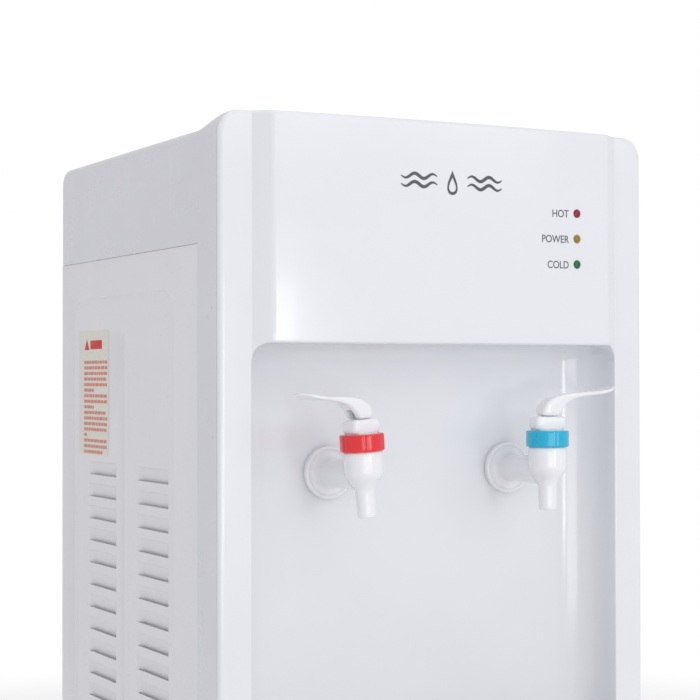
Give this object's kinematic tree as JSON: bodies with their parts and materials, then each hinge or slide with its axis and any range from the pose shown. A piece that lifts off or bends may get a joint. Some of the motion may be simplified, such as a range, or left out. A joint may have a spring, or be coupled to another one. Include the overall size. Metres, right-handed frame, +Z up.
{
  "type": "countertop water dispenser",
  "caption": "Countertop water dispenser with a hot and a cold lever tap, indicator lamps, a drip tray, louvred steel sides and a lift-out bottle seat.",
  "frame": {"origin": "on the counter, under the centre of the whole machine", "axes": "+Z up, +X to the right seen from the front, -Y towards the user"},
  "size_m": [0.31, 0.36, 0.51],
  "materials": {
    "white_abs": "smooth moulded, semi-gloss",
    "shell_abs": "smooth moulded, semi-gloss",
    "tap_plastic": "glossy, slightly translucent",
    "grey_plastic": "fine grain",
    "black_plastic": "fine grain",
    "coated_steel": "smooth powder coat",
    "galvanised_steel": "galvanised",
    "stainless_steel": "brushed",
    "aluminium": "extruded",
    "chrome": "polished",
    "black_rubber": "matt",
    "silicone": "satin",
    "foam": "closed cell foam",
    "hot_red": "glossy",
    "cold_blue": "glossy",
    "lens_red": "tinted",
    "lens_amber": "tinted",
    "lens_green": "tinted",
    "circuit_board": "solder resist",
    "ceramic": "unglazed",
    "switch_red": "glossy",
    "switch_green": "glossy"
  },
  "bodies": {
    "cabinet": {"base_pan": "shell_abs", "rubber_feet": "black_rubber", "front_panel": "white_abs", "cabinet_shell": "shell_abs", "left_side_panel": "coated_steel", "right_side_panel": "coated_steel", "back_panel": "galvanised_steel", "back_panel_screws": "chrome", "rear_bumpers": "black_plastic", "drip_shelf": "white_abs", "lamp_hot": "lens_red", "lamp_power": "lens_amber", "lamp_cold": "lens_green", "lamp_board": "circuit_board", "hot_tap_body": "tap_plastic", "hot_tap_ring": "hot_red", "cold_tap_body": "tap_plastic", "cold_tap_ring": "cold_blue", "tap_washers": "silicone", "tap_lock_nuts": "grey_plastic", "cold_tank": "stainless_steel", "cold_tank_lid": "tap_plastic", "cold_tank_foam": "foam", "tank_bracket": "galvanised_steel", "hot_tank": "stainless_steel", "hot_tank_foam": "foam", "hot_tank_stand": "galvanised_steel", "heater_band": "galvanised_steel", "thermostats": "ceramic", "cold_block": "aluminium", "cooling_module": "ceramic", "heat_sink": "aluminium", "fan_frame": "black_plastic", "hoses": "silicone", "drain_outlet": "tap_plastic", "switch_housings": "black_plastic", "cord_gland": "black_plastic", "power_board": "circuit_board"},
    "bottle_seat": {"bottle_seat": "white_abs", "bottle_seat_gasket": "foam", "feed_probe": "tap_plastic"},
    "drip_tray": {"drip_tray": "grey_plastic"},
    "drip_grille": {"drip_grille": "stainless_steel"},
    "fan_rotor": {"fan_rotor": "black_plastic"},
    "hot_switch": {"hot_switch": "switch_red"},
    "cold_switch": {"cold_switch": "switch_green"},
    "drain_cap_liner": {"drain_cap_liner": "black_rubber"},
    "drain_cap": {"drain_cap": "tap_plastic"},
    "hot_guide": {"hot_tap_guide": "tap_plastic", "hot_tap_spring": "chrome"},
    "hot_stem": {"hot_tap_stem": "tap_plastic", "hot_tap_seal": "silicone", "hot_tap_pin": "chrome"},
    "hot_lever": {"hot_tap_lever": "tap_plastic"},
    "cold_guide": {"cold_tap_guide": "tap_plastic", "cold_tap_spring": "chrome"},
    "cold_stem": {"cold_tap_stem": "tap_plastic", "cold_tap_seal": "silicone", "cold_tap_pin": "chrome"},
    "cold_lever": {"cold_tap_lever": "tap_plastic"}
  },
  "joints": [
    {"name": "hot_guide_turn", "type": "hinge", "parent": "cabinet", "child": "hot_guide", "pos_m": [-0.06889, -0.1424, 0.31873], "axis": [-0.0698, 0, 0.9976], "range_deg": [-15, 165]},
    {"name": "hot_stem_lift", "type": "slide", "parent": "hot_guide", "child": "hot_stem", "axis": [-0.0698, 0, 0.9976], "range_m": [0, 0.0023], "stiffness_N_per_m": 4000, "springref_m": -0.003, "deforming": ["hot_tap_spring"]},
    {"name": "hot_lever_tilt", "type": "hinge", "parent": "hot_stem", "child": "hot_lever", "pos_m": [-0.06966, -0.1424, 0.3297], "axis": [0.2582, -0.9659, 0.0181], "range_deg": [0, 22]},
    {"name": "cold_guide_turn", "type": "hinge", "parent": "cabinet", "child": "cold_guide", "pos_m": [0.0668, -0.1424, 0.3188], "axis": [0, 0, 1], "range_deg": [-174, 6]},
    {"name": "cold_stem_lift", "type": "slide", "parent": "cold_guide", "child": "cold_stem", "axis": [0, 0, 1], "range_m": [0, 0.0023], "stiffness_N_per_m": 4000, "springref_m": -0.003, "deforming": ["cold_tap_spring"]},
    {"name": "cold_lever_tilt", "type": "hinge", "parent": "cold_stem", "child": "cold_lever", "pos_m": [0.0668, -0.1424, 0.3298], "axis": [0.1045, 0.9945, 0], "range_deg": [0, 22]},
    {"name": "bottle_seat_lift", "type": "slide", "parent": "cabinet", "child": "bottle_seat", "axis": [0, 0, 1], "range_m": [0, 0.12]},
    {"name": "drip_tray_lift", "type": "slide", "parent": "cabinet", "child": "drip_tray", "axis": [0, 0, 1], "range_m": [0, 0.06]},
    {"name": "drip_grille_lift", "type": "slide", "parent": "drip_tray", "child": "drip_grille", "axis": [0, 0, 1], "range_m": [0, 0.04]},
    {"name": "fan_spin", "type": "hinge", "parent": "cabinet", "child": "fan_rotor", "pos_m": [0, 0.134, 0.348], "axis": [0, 1, 0], "continuous": true},
    {"name": "drain_cap_travel", "type": "slide", "parent": "cabinet", "child": "drain_cap_liner", "axis": [0, 1, 0], "range_m": [0, 0.012]},
    {"name": "drain_cap_turn", "type": "hinge", "parent": "drain_cap_liner", "child": "drain_cap", "pos_m": [-0.095, 0.172, 0.052], "axis": [0, 1, 0], "range_deg": [-2161, 0]},
    {"name": "hot_switch_rock", "type": "hinge", "parent": "cabinet", "child": "hot_switch", "pos_m": [0.085, 0.1628, 0.145], "axis": [1, 0, 0], "range_deg": [-20, 0]},
    {"name": "cold_switch_rock", "type": "hinge", "parent": "cabinet", "child": "cold_switch", "pos_m": [0.085, 0.1628, 0.115], "axis": [1, 0, 0], "range_deg": [-20, 0]}
  ],
  "couplings": [
    {"joint": "hot_lever_tilt", "follows": "hot_stem_lift", "rad_per_m": 163.93},
    {"joint": "cold_lever_tilt", "follows": "cold_stem_lift", "rad_per_m": 163.93},
    {"joint": "drain_cap_turn", "follows": "drain_cap_travel", "rad_per_m": -3141.6}
  ]
}
